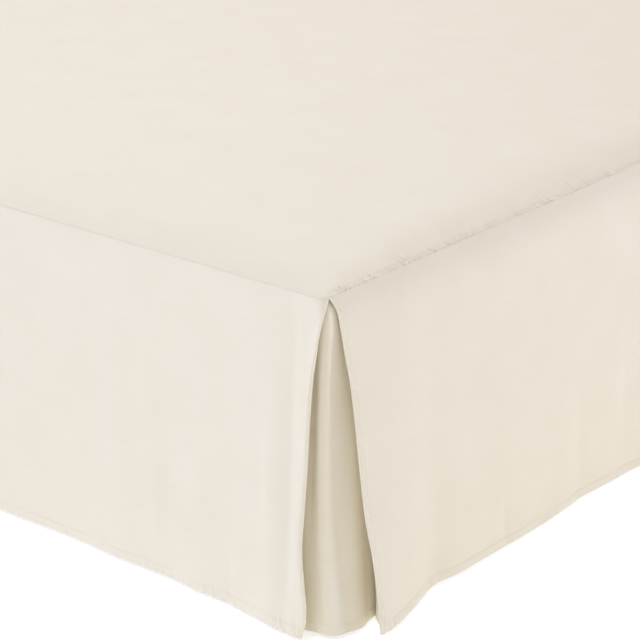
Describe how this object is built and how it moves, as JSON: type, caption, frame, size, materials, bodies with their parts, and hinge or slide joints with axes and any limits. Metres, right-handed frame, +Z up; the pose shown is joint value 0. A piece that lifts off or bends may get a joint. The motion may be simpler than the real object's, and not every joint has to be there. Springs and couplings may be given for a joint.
{
  "type": "bed skirt on a bed base",
  "caption": "Tailored cloth bed skirt: a flat deck over a bed base, straight panels hanging to the floor, and an inverted pleat at each foot corner.",
  "frame": {"origin": "on the floor under the middle of the whole part, between the legs", "axes": "+Z up, +Y along the bed towards its head, +X towards the side of the pictured corner; the foot panel faces -Y"},
  "size_m": [1.6309, 2.0591, 0.4202],
  "materials": {
    "ivory_microfibre": "smooth brushed microfibre cloth, ivory, matt with a faint bloom",
    "white_ticking": "plain off-white ticking over a padded base",
    "grey_steel": "dark grey powder coat, satin",
    "black_plastic": "black moulded plastic, matt"
  },
  "bodies": {
    "root": {"deck": "ivory_microfibre", "skirt_foot": "ivory_microfibre", "skirt_left": "ivory_microfibre", "skirt_right": "ivory_microfibre", "pleat_insert_left": "ivory_microfibre", "pleat_insert_right": "ivory_microfibre", "base": "white_ticking", "rail_left": "grey_steel", "rail_middle": "grey_steel", "rail_right": "grey_steel", "rail_foot_left": "grey_steel", "rail_foot_right": "grey_steel", "rail_head_left": "grey_steel", "rail_head_right": "grey_steel", "leg_left_foot": "black_plastic", "leg_left_mid": "black_plastic", "leg_left_head": "black_plastic", "leg_middle_foot": "black_plastic", "leg_middle_mid": "black_plastic", "leg_middle_head": "black_plastic", "leg_right_foot": "black_plastic", "leg_right_mid": "black_plastic", "leg_right_head": "black_plastic"}
  },
  "joints": []
}
